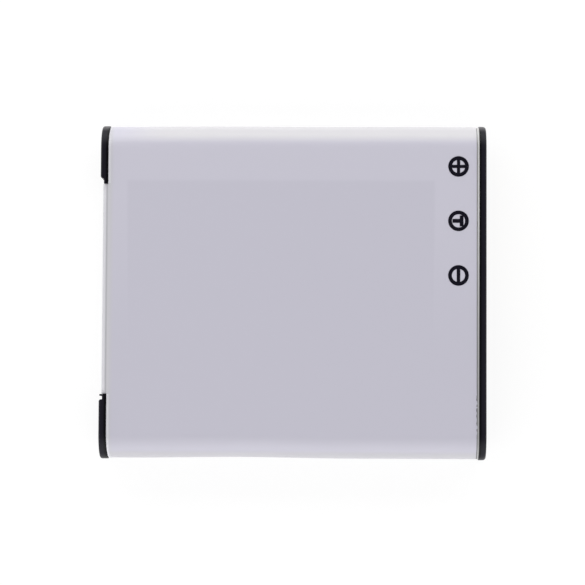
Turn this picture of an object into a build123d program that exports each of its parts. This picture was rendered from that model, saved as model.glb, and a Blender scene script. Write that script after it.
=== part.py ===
from build123d import *
import os

# A slim rechargeable camera battery, lying on its back. Millimetres.
# X runs from the plain end to the contact end, Y across the pack, Z up from the surface it lies on.

# Outline of the pack over its end caps
PACK_LENGTH = 40.0
PACK_WIDTH = 34.75
PACK_THICKNESS = 5.9
SIDE_RADIUS = 2.6
FULLEST_ROUND = 0.49  # a side's radius, as a share of the thickness, stays under a half circle

# Label: one sheet of film round the pack, with a flap folded over the plain end
CAP_PROUD = 0.1
FILM_THICKNESS = 0.1
GLUE_THICKNESS = 0.03
SEAM_GAP = 0.4
SEAM_SETBACK = 6.0
FLAP_FOLD_RADIUS = 0.57
FLAP_HEM = 0.7
FLAP_SIDE_GAP = 0.06

# Base cap: a plate with two raised feet, the label's flap between them and a thin rib beside the far foot
FOOT_HEIGHT = 0.36
FOOT_LENGTH_PLUS_SIDE = 5.73
FOOT_LENGTH_FAR_SIDE = 6.1
FOOT_LEDGE = 0.54
FOOT_ROUND = 0.25
RIB_HEIGHT = 0.27
RIB_WIDTH = 0.17
BASE_RIM = 0.44
BASE_NECK = 0.63
TAPE_THICKNESS = 0.15
TAPE_INSET = 1.0

# Cell: a drawn can with a welded lid
CAN_BOTTOM_BEVEL = 0.6
WELD_INSET = 0.3
WELD_WIDTH = 0.12
WELD_DEPTH = 0.05
VENT_LENGTH = 3.2
VENT_HEIGHT = 1.7
VENT_SCORE = 0.15
VENT_SETBACK = 5.0
FILL_HOLE_RADIUS = 0.5
FILL_HOLE_DEPTH = 0.45
FILL_PLUG_CLEARANCE = 0.02

# Poles on the lid
GASKET_LENGTH = 4.6
GASKET_HEIGHT = 1.9
GASKET_THICKNESS = 0.3
TERMINAL_LENGTH = 3.8
TERMINAL_HEIGHT = 1.5
TERMINAL_THICKNESS = 0.3
RIVET_RADIUS = 0.6
RIVET_HEAD_HEIGHT = 0.2
SHANK_RADIUS = 0.4
SHANK_CLEARANCE = 0.05
PAD_LENGTH = 3.0
PAD_HEIGHT = 1.8
PAD_THICKNESS = 0.2
PAD_GAP = 2.4
POLE_CORNER = 0.3
INSULATOR_THICKNESS = 0.15
INSULATOR_CLEARANCE = 0.12

# Straps and the heat cut-off between the cell and the board
STRAP_THICKNESS = 0.12
STRAP_WIDTH = 1.7
STRAP_BEND = 0.3
STRAP_END_GAP = 0.2
STRAP_RUN = 1.3
STRAP_FOOT = 2.0
CUTOFF_LENGTH = 3.6
CUTOFF_HEIGHT = 2.2
CUTOFF_GAP = 0.6

# Board frame: the moulded spacer that carries the board
CELL_GAP = 2.5
FRAME_WALL = 0.6
FRAME_LEDGE = 0.25
END_BLOCK = 2.2
STOP_LIP = 0.2
STOP_GAP = 0.12

# Circuit board and what is soldered to it
BOARD_THICKNESS = 0.8
BOARD_CLEARANCE = 0.1
PART_GAP = 0.7
SWITCH_SIZE = (0.75, 3.2, 2.2)
PROTECTION_SIZE = (0.7, 2.2, 1.9)
SENSOR_SIZE = (0.5, 1.6, 0.8)
RESISTOR_SIZE = (0.35, 1.0, 0.5)
RESISTOR_COUNT = 3
RESISTOR_PITCH = 0.8
CAPACITOR_SIZE = (0.5, 1.0, 0.5)
CAPACITOR_COUNT = 2
CAPACITOR_PITCH = 1.1
CHIP_CHAMFER = 0.12
CHIP_DIMPLE_RADIUS = 0.22
CHIP_DIMPLE_DEPTH = 0.06
END_METAL_LENGTH = 0.22
END_METAL_THICKNESS = 0.03

# Contacts, and the windows in the cap through which they are reached
CONTACT_COUNT = 3
CONTACT_PITCH = 5.65
CONTACT_THICKNESS = 0.15
CONTACT_CLEARANCE = 0.15
CONTACT_CORNER = 0.25
WINDOW_WIDTH = 3.2
WINDOW_HEIGHT = 2.8
WINDOW_CORNER = 0.35
WINDOW_LEAD_IN = 0.2
LEAD_IN_ANGLE = 45

# Contact cap: a flange that closes the board frame, with two pegs
FLANGE_THICKNESS = 0.74
FLANGE_ROUND = 0.3
PEG_RADIUS = 0.5
PEG_DEPTH = 1.0
PEG_CLEARANCE = 0.05
PEG_TO_WINDOW = 0.39

# Insets from the pack's outline
label_inset = CAP_PROUD
glue_inset = label_inset + FILM_THICKNESS
body_inset = glue_inset + GLUE_THICKNESS
pocket_inset = body_inset + FRAME_WALL
board_inset = pocket_inset + BOARD_CLEARANCE

# Stations along the pack
contact_face_x = PACK_LENGTH / 2
flange_back_x = contact_face_x - FLANGE_THICKNESS
lip_x = flange_back_x - STOP_LIP
label_stop_x = lip_x - STOP_GAP
board_front_x = flange_back_x
board_back_x = board_front_x - BOARD_THICKNESS
lid_x = board_back_x - CELL_GAP
foot_face_x = -PACK_LENGTH / 2
base_face_x = foot_face_x + FOOT_HEIGHT
label_edge_x = base_face_x + BASE_RIM
neck_end_x = label_edge_x + BASE_NECK
can_bottom_x = neck_end_x + TAPE_THICKNESS

# Stations across the pack
mid_z = PACK_THICKNESS / 2
side_y = PACK_WIDTH / 2
foot_end_plus_y = side_y - FOOT_LENGTH_PLUS_SIDE
foot_end_far_y = FOOT_LENGTH_FAR_SIDE - side_y
flap_plus_y = foot_end_plus_y - FOOT_LEDGE
flap_far_y = foot_end_far_y + FOOT_LEDGE
peg_y = side_y - pocket_inset - END_BLOCK / 2
first_contact_y = peg_y - PEG_RADIUS - PEG_TO_WINDOW - WINDOW_WIDTH / 2
contact_ys = [first_contact_y - index * CONTACT_PITCH for index in range(CONTACT_COUNT)]
cavity_width = PACK_WIDTH - 2 * (pocket_inset + END_BLOCK)
cavity_height = PACK_THICKNESS - 2 * (pocket_inset + FRAME_LEDGE)
pad_y = GASKET_LENGTH / 2 + PAD_GAP + PAD_LENGTH / 2
fill_hole_y = GASKET_LENGTH / 2 + PAD_GAP / 2
cutoff_near_y = -GASKET_LENGTH / 2 - CUTOFF_GAP
cutoff_far_y = cutoff_near_y - CUTOFF_LENGTH
negative_rise_y = cutoff_far_y - STRAP_RUN
positive_rise_y = pad_y + PAD_LENGTH / 2 + STRAP_RUN

# Heights of the stack on the lid
cutoff_seat_x = lid_x + INSULATOR_THICKNESS
cutoff_under_x = cutoff_seat_x + STRAP_THICKNESS
terminal_seat_x = lid_x + GASKET_THICKNESS
terminal_top_x = terminal_seat_x + TERMINAL_THICKNESS
pad_top_x = lid_x + PAD_THICKNESS


def across(x, y=0.0, z=mid_z):
    """Plane across the pack at x, with its own x along the pack's width and its own y up."""
    return Plane(origin=(x, y, z), x_dir=(0, 1, 0), z_dir=(1, 0, 0))


def slab(profile, x_from, x_to, y=0.0, z=mid_z):
    """A profile across the pack, as solid from one station to another."""
    return extrude(across(x_from, y, z) * profile, amount=x_to - x_from)


def outline(inset):
    """The pack's section, drawn in from its outer outline."""
    side_radius = min(SIDE_RADIUS, FULLEST_ROUND * PACK_THICKNESS)
    return RectangleRounded(PACK_WIDTH - 2 * inset, PACK_THICKNESS - 2 * inset, side_radius - inset)


def plate(length, height, x_from, x_to, y, corner):
    """A flat plate with rounded corners, lying across the pack."""
    return slab(RectangleRounded(length, height, corner), x_from, x_to, y)


def bent_strap(*points):
    """A strip of metal, bent along points given as (x, y) for the middle of its thickness."""
    path = FilletPolyline(*[(x, y, mid_z) for x, y in points], radius=STRAP_BEND)
    start = Plane(origin=path @ 0, x_dir=(0, 0, 1), z_dir=path % 0)
    return sweep(start * Rectangle(STRAP_WIDTH, STRAP_THICKNESS), path=path)


def end_edges(solid, x):
    """The edges of a solid that lie in the plane across the pack at x."""
    return solid.edges().filter_by_position(Axis.X, x, x)


def make_label():
    """The film: a sleeve with a butt seam on the back, and a flap folded down over the plain end."""
    sleeve = slab(outline(label_inset) - outline(glue_inset), label_edge_x, label_stop_x)
    seam_y = SEAM_SETBACK - side_y
    sleeve -= slab(Rectangle(SEAM_GAP, 2 * body_inset), label_edge_x, label_stop_x, seam_y, label_inset)
    top_z = PACK_THICKNESS - label_inset - FILM_THICKNESS / 2
    flap_x = base_face_x - GLUE_THICKNESS - FILM_THICKNESS / 2
    fold = FilletPolyline(
        (label_edge_x + FILM_THICKNESS, 0, top_z),
        (flap_x, 0, top_z),
        (flap_x, 0, body_inset + FLAP_HEM),
        radius=FLAP_FOLD_RADIUS - FILM_THICKNESS / 2,
    )
    flap_width = flap_plus_y - flap_far_y - 2 * FLAP_SIDE_GAP
    start = Plane(origin=fold @ 0, x_dir=(0, 1, 0), z_dir=fold % 0)
    flap = sweep(start * Rectangle(flap_width, FILM_THICKNESS), path=fold)
    flap = Pos(Y=(flap_plus_y + flap_far_y) / 2) * flap
    return sleeve + flap


def between_feet(solid, y_from, y_to):
    """The block of room between the feet, as long and as high as the solid it is cut from."""
    room = solid.bounding_box()
    block = Rectangle(y_to - y_from, PACK_THICKNESS)
    return slab(block, room.min.X, room.max.X, (y_from + y_to) / 2)


def make_base_cap():
    """The plain end: a plate under the label's edge, a rim outside it, two feet on the rim and a rib."""
    neck = slab(outline(body_inset), base_face_x, neck_end_x)
    fold_round = min(FLAP_FOLD_RADIUS - FILM_THICKNESS - GLUE_THICKNESS, BASE_RIM)
    neck = fillet(end_edges(neck, base_face_x).filter_by(Axis.Y), fold_round)
    rim = slab(outline(0), base_face_x, label_edge_x - GLUE_THICKNESS)
    rim -= between_feet(rim, flap_far_y, flap_plus_y)
    feet = slab(outline(0), foot_face_x, base_face_x)
    feet -= between_feet(feet, foot_end_far_y, foot_end_plus_y)
    feet = fillet(end_edges(feet, foot_face_x), FOOT_ROUND)
    rib = slab(outline(0), base_face_x - RIB_HEIGHT, base_face_x)
    rib &= between_feet(rib, flap_far_y - RIB_WIDTH, flap_far_y)
    return neck + rim + feet + rib


def make_base_tape():
    """Double-sided tape that holds the base cap to the bottom of the can."""
    return slab(outline(body_inset + TAPE_INSET), neck_end_x, can_bottom_x)


def make_cell():
    """The sealed can: bevelled at its drawn bottom, with weld line, scored vent and fill hole on its lid."""
    can = slab(outline(body_inset), can_bottom_x, lid_x)
    can = chamfer(end_edges(can, can_bottom_x), CAN_BOTTOM_BEVEL)
    weld_outer = body_inset + WELD_INSET
    can -= slab(outline(weld_outer) - outline(weld_outer + WELD_WIDTH), lid_x - WELD_DEPTH, lid_x)
    vent = Rectangle(VENT_LENGTH, VENT_SCORE)
    vent += Pos(X=VENT_LENGTH / 2) * Rectangle(VENT_SCORE, VENT_HEIGHT)
    vent += Pos(X=-VENT_LENGTH / 2) * Rectangle(VENT_SCORE, VENT_HEIGHT)
    can -= slab(vent, lid_x - VENT_SCORE, lid_x, VENT_SETBACK - side_y)
    can -= slab(Circle(FILL_HOLE_RADIUS), lid_x - FILL_HOLE_DEPTH, lid_x, fill_hole_y)
    return can


def make_fill_plug():
    """The plug welded into the hole through which the cell was filled."""
    plug = Circle(FILL_HOLE_RADIUS - FILL_PLUG_CLEARANCE)
    return slab(plug, lid_x - FILL_HOLE_DEPTH, lid_x, fill_hole_y)


def make_gasket():
    """The moulded ring that keeps the negative pole off the lid."""
    gasket = plate(GASKET_LENGTH, GASKET_HEIGHT, lid_x, terminal_seat_x, 0, POLE_CORNER)
    return gasket - slab(Circle(SHANK_RADIUS + SHANK_CLEARANCE), lid_x, terminal_seat_x)


def make_terminal():
    """The negative pole: a plate with the head and shank of its rivet."""
    pole = plate(TERMINAL_LENGTH, TERMINAL_HEIGHT, terminal_seat_x, terminal_top_x, 0, POLE_CORNER)
    pole += slab(Circle(SHANK_RADIUS), lid_x, terminal_seat_x)
    head = slab(Circle(RIVET_RADIUS), terminal_top_x, terminal_top_x + RIVET_HEAD_HEIGHT)
    return pole + chamfer(end_edges(head, terminal_top_x + RIVET_HEAD_HEIGHT), RIVET_HEAD_HEIGHT / 2)


def make_weld_pad():
    """The clad pad on the bare lid, which is the positive pole."""
    return slab(Rectangle(PAD_LENGTH, PAD_HEIGHT), lid_x, pad_top_x, pad_y)


def make_lid_insulator():
    """A card on the lid, cut out round both poles."""
    width = cavity_width - 2 * INSULATOR_CLEARANCE
    height = cavity_height - 2 * INSULATOR_CLEARANCE
    card = slab(Rectangle(width, height), lid_x, cutoff_seat_x)
    for length, tall, y in [(GASKET_LENGTH, GASKET_HEIGHT, 0), (PAD_LENGTH, PAD_HEIGHT, pad_y)]:
        hole = Rectangle(length + 2 * INSULATOR_CLEARANCE, tall + 2 * INSULATOR_CLEARANCE)
        card -= slab(hole, lid_x, cutoff_seat_x, y)
    return card


def make_cutoff():
    """The heat cut-off, a flat body clamped between the two negative straps."""
    middle = (cutoff_near_y + cutoff_far_y) / 2
    return slab(Rectangle(CUTOFF_LENGTH, CUTOFF_HEIGHT), cutoff_under_x, terminal_top_x, middle)


def make_link_strap():
    """A flat strap from the negative pole over the top of the cut-off."""
    near_y = -RIVET_RADIUS - STRAP_END_GAP
    far_y = cutoff_far_y + STRAP_END_GAP
    strap = Rectangle(near_y - far_y, STRAP_WIDTH)
    return slab(strap, terminal_top_x, terminal_top_x + STRAP_THICKNESS, (near_y + far_y) / 2)


def make_negative_strap():
    """A strap from under the cut-off, up to the back of the board."""
    low_x = cutoff_seat_x + STRAP_THICKNESS / 2
    high_x = board_back_x - STRAP_THICKNESS / 2
    return bent_strap(
        (low_x, cutoff_near_y - STRAP_END_GAP),
        (low_x, negative_rise_y),
        (high_x, negative_rise_y),
        (high_x, negative_rise_y - STRAP_FOOT),
    )


def make_positive_strap():
    """A strap from the weld pad, up to the back of the board."""
    low_x = pad_top_x + STRAP_THICKNESS / 2
    high_x = board_back_x - STRAP_THICKNESS / 2
    return bent_strap(
        (low_x, pad_y - PAD_LENGTH / 2 + STRAP_END_GAP),
        (low_x, positive_rise_y),
        (high_x, positive_rise_y),
        (high_x, positive_rise_y + STRAP_FOOT),
    )


def peg_pair(radius, x_from, x_to):
    """A round bar at each end of the contact end, for the cap's pegs and the holes they enter."""
    return slab(Circle(radius), x_from, x_to, peg_y) + slab(Circle(radius), x_from, x_to, -peg_y)


def make_board_frame():
    """The spacer between lid and cap: a room for the straps, a pocket for the board and a label stop."""
    frame = slab(outline(body_inset), lid_x, flange_back_x)
    frame += slab(outline(label_inset), lip_x, flange_back_x)
    frame -= slab(outline(pocket_inset), board_back_x, flange_back_x)
    frame -= slab(Rectangle(cavity_width, cavity_height), lid_x, board_back_x)
    hole_end_x = board_back_x - PEG_DEPTH - PEG_CLEARANCE
    return frame - peg_pair(PEG_RADIUS + PEG_CLEARANCE, hole_end_x, board_back_x)


def make_board():
    """The circuit board, dropped into its pocket over the two pegs' holes."""
    board = slab(outline(board_inset), board_back_x, board_front_x)
    return board - peg_pair(PEG_RADIUS + PEG_CLEARANCE, board_back_x, board_front_x)


def make_contact(y):
    """A plated contact, standing on the board in its window."""
    length = WINDOW_WIDTH - 2 * CONTACT_CLEARANCE
    height = WINDOW_HEIGHT - 2 * CONTACT_CLEARANCE
    pad = plate(length, height, board_front_x, board_front_x + CONTACT_THICKNESS, y, CONTACT_CORNER)
    return chamfer(end_edges(pad, board_front_x + CONTACT_THICKNESS), CONTACT_THICKNESS / 2)


def make_contact_cap():
    """The flange over the board, with a window for each contact and a peg at each end."""
    flange = slab(outline(0), flange_back_x, contact_face_x)
    flange = fillet(end_edges(flange, contact_face_x), FLANGE_ROUND)
    mouth_width = WINDOW_WIDTH + 2 * WINDOW_LEAD_IN
    mouth_height = WINDOW_HEIGHT + 2 * WINDOW_LEAD_IN
    mouth = RectangleRounded(mouth_width, mouth_height, WINDOW_CORNER + WINDOW_LEAD_IN)
    for y in contact_ys:
        flange -= plate(WINDOW_WIDTH, WINDOW_HEIGHT, flange_back_x, contact_face_x, y, WINDOW_CORNER)
        flange -= extrude(across(contact_face_x, y) * mouth, amount=-WINDOW_LEAD_IN, taper=LEAD_IN_ANGLE)
    return flange + peg_pair(PEG_RADIUS, board_back_x - PEG_DEPTH, flange_back_x)


def make_chip(size, y):
    """A moulded chip on the back of the board, with a dimple that marks its first lead."""
    height, length, width = size
    top_x = board_back_x - height
    chip = slab(Rectangle(length, width), top_x, board_back_x, y)
    chip = chamfer(end_edges(chip, top_x), CHIP_CHAMFER)
    corner_y = y - length / 2 + 2 * CHIP_DIMPLE_RADIUS
    corner_z = mid_z + width / 2 - 2 * CHIP_DIMPLE_RADIUS
    return chip - slab(Circle(CHIP_DIMPLE_RADIUS), top_x, top_x + CHIP_DIMPLE_DEPTH, corner_y, corner_z)


def make_end_metal_part(size, y, z=mid_z):
    """A small block with plated ends that stand slightly proud, as a resistor or capacitor has."""
    height, length, width = size
    top_x = board_back_x - height
    part = slab(Rectangle(length, width), top_x, board_back_x, y, z)
    waist = slab(Rectangle(length - 2 * END_METAL_LENGTH, width), top_x, top_x + END_METAL_THICKNESS, y, z)
    return part - waist


def column_of(size, count, pitch, y):
    """Small parts one above the other across the board."""
    lowest_z = mid_z - (count - 1) * pitch / 2
    return [make_end_metal_part(size, y, lowest_z + index * pitch) for index in range(count)]


def make_board_parts():
    """The parts on the back of the board, in a row from the negative strap."""
    row = {}
    y = negative_rise_y + STRAP_BEND + PART_GAP
    y += SWITCH_SIZE[1] / 2
    row["switch_chip"] = make_chip(SWITCH_SIZE, y)
    y += SWITCH_SIZE[1] / 2 + PART_GAP + PROTECTION_SIZE[1] / 2
    row["protection_chip"] = make_chip(PROTECTION_SIZE, y)
    y += PROTECTION_SIZE[1] / 2 + PART_GAP + RESISTOR_SIZE[1] / 2
    for index, part in enumerate(column_of(RESISTOR_SIZE, RESISTOR_COUNT, RESISTOR_PITCH, y)):
        row[f"resistor_{index + 1}"] = part
    y += RESISTOR_SIZE[1] / 2 + PART_GAP + CAPACITOR_SIZE[1] / 2
    for index, part in enumerate(column_of(CAPACITOR_SIZE, CAPACITOR_COUNT, CAPACITOR_PITCH, y)):
        row[f"capacitor_{index + 1}"] = part
    y += CAPACITOR_SIZE[1] / 2 + PART_GAP + SENSOR_SIZE[1] / 2
    row["temperature_sensor"] = make_end_metal_part(SENSOR_SIZE, y)
    return row


def make_contacts():
    """The contacts, in order from the side of the pack: plus, sense, minus."""
    names = ["plus_contact", "sense_contact", "minus_contact"]
    return {name: make_contact(y) for name, y in zip(names, contact_ys)}


pieces = {
    "wrap_label": make_label(),
    "base_cap": make_base_cap(),
    "base_tape": make_base_tape(),
    "cell": make_cell(),
    "fill_plug": make_fill_plug(),
    "terminal_gasket": make_gasket(),
    "negative_terminal": make_terminal(),
    "weld_pad": make_weld_pad(),
    "lid_insulator": make_lid_insulator(),
    "heat_cutoff": make_cutoff(),
    "link_strap": make_link_strap(),
    "negative_strap": make_negative_strap(),
    "positive_strap": make_positive_strap(),
    "board_frame": make_board_frame(),
    "circuit_board": make_board(),
    **make_board_parts(),
    **make_contacts(),
    "contact_cap": make_contact_cap(),
}

os.makedirs("parts", exist_ok=True)
for name, piece in pieces.items():
    export_step(piece, f"parts/{name}.step")
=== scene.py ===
# %% [markdown]
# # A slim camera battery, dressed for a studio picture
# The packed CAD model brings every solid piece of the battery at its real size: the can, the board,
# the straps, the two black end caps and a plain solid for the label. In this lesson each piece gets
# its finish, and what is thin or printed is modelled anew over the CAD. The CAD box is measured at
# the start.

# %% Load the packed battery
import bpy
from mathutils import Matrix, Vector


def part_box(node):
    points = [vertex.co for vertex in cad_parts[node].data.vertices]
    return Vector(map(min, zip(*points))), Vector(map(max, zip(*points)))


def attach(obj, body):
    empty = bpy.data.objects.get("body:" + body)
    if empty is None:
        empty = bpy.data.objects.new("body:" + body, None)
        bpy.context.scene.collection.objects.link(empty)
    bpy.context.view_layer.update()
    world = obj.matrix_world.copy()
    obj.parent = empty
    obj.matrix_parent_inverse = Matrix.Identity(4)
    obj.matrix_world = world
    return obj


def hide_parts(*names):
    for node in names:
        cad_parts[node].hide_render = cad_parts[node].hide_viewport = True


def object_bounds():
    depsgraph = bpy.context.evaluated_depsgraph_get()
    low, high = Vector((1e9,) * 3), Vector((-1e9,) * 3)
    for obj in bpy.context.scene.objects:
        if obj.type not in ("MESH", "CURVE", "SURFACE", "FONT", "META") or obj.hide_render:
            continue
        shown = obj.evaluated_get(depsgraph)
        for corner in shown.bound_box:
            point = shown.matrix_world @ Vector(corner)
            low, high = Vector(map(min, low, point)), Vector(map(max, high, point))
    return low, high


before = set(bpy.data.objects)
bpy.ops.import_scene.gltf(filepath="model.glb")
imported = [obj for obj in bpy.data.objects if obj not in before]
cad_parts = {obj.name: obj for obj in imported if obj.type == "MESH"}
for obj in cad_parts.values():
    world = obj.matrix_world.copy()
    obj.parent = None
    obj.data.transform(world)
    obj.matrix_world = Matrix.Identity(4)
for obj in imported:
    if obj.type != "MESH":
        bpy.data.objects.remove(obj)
cad_low, cad_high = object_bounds()

MM = 0.001
print("CAD box, mm:", [round(value / MM, 2) for value in (*cad_low, *cad_high)])

# %% [markdown]
# ## Working by hand, in code
# Each new piece is modelled as it would be with the mouse: add a primitive, go into edit mode,
# select, run a tool. A tool acts on all that is selected, and the loaded CAD pieces are, so a fresh
# start deselects everything. A script has no cursor to click with. It selects by a test on each
# vertex, edge or face, such as "this edge runs along X", and that still finds the right edge when a
# size changes.

# %% Helpers for modelling by hand
import bpy
import bmesh

ALMOST = 0.999


def start_fresh():
    """Leave edit mode and deselect everything, so that the next tool acts on the new piece alone."""
    if bpy.context.object and bpy.context.object.mode != "OBJECT":
        bpy.ops.object.mode_set(mode="OBJECT")
    bpy.ops.object.select_all(action="DESELECT")


def pick(kind, test):
    """In edit mode, select the vertices, edges or faces that pass a test, and return how many did."""
    bpy.ops.mesh.select_mode(type=kind)
    bpy.ops.mesh.select_all(action="DESELECT")
    mesh = bmesh.from_edit_mesh(bpy.context.object.data)
    items = {"VERT": mesh.verts, "EDGE": mesh.edges, "FACE": mesh.faces}[kind]
    found = [item for item in items if test(item)]
    for item in found:
        item.select_set(True)
    mesh.select_flush_mode()
    bmesh.update_edit_mesh(bpy.context.object.data)
    return len(found)


def runs_along(edge, axis):
    """True if an edge points along an axis, given as 0, 1 or 2."""
    way = edge.verts[1].co - edge.verts[0].co
    return abs(way[axis]) > ALMOST * way.length


print("pieces selected after loading:", len(bpy.context.selected_objects))

# %% [markdown]
# ## The label
# The label is one sheet of printed film, a tenth of a millimetre thick. It goes round the can, meets
# itself in a seam on the back, and at the plain end a flap of it folds down over the base cap between
# the two feet. A cloth simulation would be too soft for glued film, so it is folded from a box, as a
# paper model is: the four long edges are bevelled round and the two ends come off, which leaves a
# sleeve.

# %% A sleeve from a box
SLEEVE_LEFT = -19.20 * MM
SIDE_RADIUS = 2.5 * MM
SIDE_STEPS = 18
OVERRUN = 0.04 * MM
FACING = 0.9
label_low, label_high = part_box("wrap_label")
sleeve_right = label_high.x + OVERRUN
sleeve_size = (sleeve_right - SLEEVE_LEFT, label_high.y - label_low.y, label_high.z - label_low.z)
sleeve_middle = ((sleeve_right + SLEEVE_LEFT) / 2, 0, (label_low.z + label_high.z) / 2)

start_fresh()
bpy.ops.mesh.primitive_cube_add(size=1, location=sleeve_middle, scale=sleeve_size)
label = bpy.context.object
bpy.ops.object.transform_apply(location=True, rotation=True, scale=True)
bpy.ops.object.mode_set(mode="EDIT")
pick("EDGE", lambda edge: runs_along(edge, 0))
bpy.ops.mesh.bevel(offset=SIDE_RADIUS, segments=SIDE_STEPS, affect="EDGES")
pick("FACE", lambda face: abs(face.normal.x) > FACING)
bpy.ops.mesh.delete(type="FACE")
print("sleeve, mm:", [round(side / MM, 2) for side in sleeve_size])

# %% [markdown]
# ### A grid over the sleeve
# A sheet that will be pressed and made wavy needs points all over it. Subdividing the long edges and
# then the wide ones gives an even grid. Bisecting the sheet adds lines only where the flap, the seam
# and a ragged stretch of the cut will be, which is cheaper than a finer grid everywhere. The ragged
# stretch takes quarters of the grid's own fields, so that no two lines lie almost on each other.

# %% Cut the sleeve into small fields
HAIR = 0.005 * MM
LENGTH_CUTS = 63
WIDTH_CUTS = 29
FLAP_EDGES = (-10.68 * MM, 11.05 * MM)
SEAM_EDGES = (-11.575 * MM, -11.175 * MM)
RAGGED_STEPS = 4
RAGGED_STATIONS = 17
TONGUES = ((-14.13 * MM, -13.90 * MM), (-12.02 * MM, -11.87 * MM))

pick("EDGE", lambda edge: runs_along(edge, 0))
bpy.ops.mesh.subdivide(number_cuts=LENGTH_CUTS)
pick("EDGE", lambda edge: runs_along(edge, 1) and edge.calc_length() > SIDE_RADIUS)
bpy.ops.mesh.subdivide(number_cuts=WIDTH_CUTS)

flat_low = label_low.y + SIDE_RADIUS
ragged_step = -2 * flat_low / (WIDTH_CUTS + 1) / RAGGED_STEPS
ragged_stations = [flat_low + (index + 1) * ragged_step for index in range(RAGGED_STATIONS)]
for station in [*FLAP_EDGES, *SEAM_EDGES, *ragged_stations, *TONGUES[0], *TONGUES[1]]:
    bpy.ops.mesh.select_all(action="SELECT")
    bpy.ops.mesh.bisect(plane_co=(0, station, 0), plane_no=(0, 1, 0), threshold=HAIR)
print("fields after the cuts:", pick("FACE", lambda face: True))

# %% [markdown]
# ### The seam on the back
# The two ends of the film don't quite meet: a strip of the can, less than half a millimetre wide,
# stays bare. The strip is marked off by two of the bisected lines, so deleting the faces between them
# opens the seam.

# %% Open the seam


def between(value, limits):
    """True if a value lies between two limits, with a hair to spare."""
    return limits[0] - HAIR < value < limits[1] + HAIR


def in_seam(face):
    """True for the faces on the back between the two lines of the seam."""
    return face.normal.z < -FACING and between(face.calc_center_median().y, SEAM_EDGES)


print("faces taken out for the seam:", pick("FACE", in_seam))
bpy.ops.mesh.delete(type="FACE")

# %% [markdown]
# ### The flap
# At the plain end the film goes on between the two feet, and folds down over the base cap. An extruded
# edge would fold sharply. Spinning the open edge a quarter turn gives the small radius that real film
# keeps, and a few extruded rows take it on down to its hem. The spin leaves doubled points and mixed
# normals, so both are put right at once.

# %% Fold the flap down over the plain end
from math import radians

QUARTER_TURN = radians(90)
FLAP_HEM_Z = 0.93 * MM
FLAP_ROWS = 6
FOLD_STEPS = 10
fold_radius = SLEEVE_LEFT - label_low.x
fold_middle = (SLEEVE_LEFT, 0, label_high.z - fold_radius)


def on_flap_edge(edge):
    """True for the open edges, on the top of the plain end, from which the flap grows."""
    ends = edge.verts[0].co, edge.verts[1].co
    at_end = all(abs(end.x - SLEEVE_LEFT) < HAIR for end in ends)
    on_top = all(abs(end.z - label_high.z) < HAIR for end in ends)
    return at_end and on_top and all(between(end.y, FLAP_EDGES) for end in ends)


pick("EDGE", on_flap_edge)
bpy.ops.mesh.spin(steps=FOLD_STEPS, angle=QUARTER_TURN, center=fold_middle, axis=(0, 1, 0))
row = (FLAP_HEM_Z - fold_middle[2]) / FLAP_ROWS
for _ in range(FLAP_ROWS):
    bpy.ops.mesh.extrude_edges_move(TRANSFORM_OT_translate={"value": (0, 0, row)})
bpy.ops.mesh.select_all(action="SELECT")
bpy.ops.mesh.remove_doubles(threshold=HAIR)
bpy.ops.mesh.normals_make_consistent(inside=False)
print("flap folded, radius in mm:", round(fold_radius / MM, 3))

# %% [markdown]
# ### What handling did to the label
# Glued film is never quite true. At the plain end its cut is worn back at both rounded sides, one long
# side is a little sunk where it was pressed, and the other stands out a little. Moved point by point,
# that would look drawn. Proportional editing moves a few points of a side and lets their neighbours
# follow softly, within a reach that is given each time.

# %% Push the sides
SPOT = 0.4 * MM
WORN_BACK = (0.1 * MM, 0, 0)
WORN_REACH = 3.5 * MM
near_side, far_side = label_low.y, label_high.y


def push_side(side, x, by, reach):
    """Move a spot on one long side by so much, and its neighbourhood along with it."""
    points = pick("VERT", lambda vert: abs(vert.co.x - x) < SPOT and abs(vert.co.y - side) < HAIR)
    bpy.ops.transform.translate(
        value=by,
        use_proportional_edit=True,
        proportional_edit_falloff="SMOOTH",
        proportional_size=reach,
    )
    print("side pushed at", round(x / MM, 1), "mm, points:", points)


push_side(near_side, x=SLEEVE_LEFT, by=WORN_BACK, reach=WORN_REACH)
push_side(far_side, x=SLEEVE_LEFT, by=WORN_BACK, reach=WORN_REACH)
push_side(near_side, x=-5.5 * MM, by=(0, 0.11 * MM, 0), reach=11 * MM)
push_side(far_side, x=-6.0 * MM, by=(0, 0.08 * MM, 0), reach=20 * MM)
push_side(far_side, x=13.0 * MM, by=(0, 0.09 * MM, 0), reach=14 * MM)

# %% [markdown]
# ### A ragged cut
# At the contact end a stretch of the cut is ragged, and two small tongues of film reach over the
# groove beside it. Scaling points to nothing along X brings them all to one X, which makes a tongue.
# A random move with a fixed seed frays the rest the same way on every run. It also lifts points off
# the sheet, where they would catch the light, so they are scaled flat again in Z.

# %% Tongues and frayed points
FRAY = 0.07 * MM
FRAY_SEED = 578
TONGUE_X = 19.05 * MM


def on_cut(vert):
    """True for a point of the cut at the contact end, on the top of the battery."""
    return vert.co.x > sleeve_right - SPOT and vert.co.z > sleeve_middle[2]


def in_ragged_cut(vert):
    """True for a point of the cut's ragged stretch that isn't part of a tongue."""
    in_stretch = on_cut(vert) and between(vert.co.y, (ragged_stations[0], ragged_stations[-1]))
    return in_stretch and not any(between(vert.co.y, tongue) for tongue in TONGUES)


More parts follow.
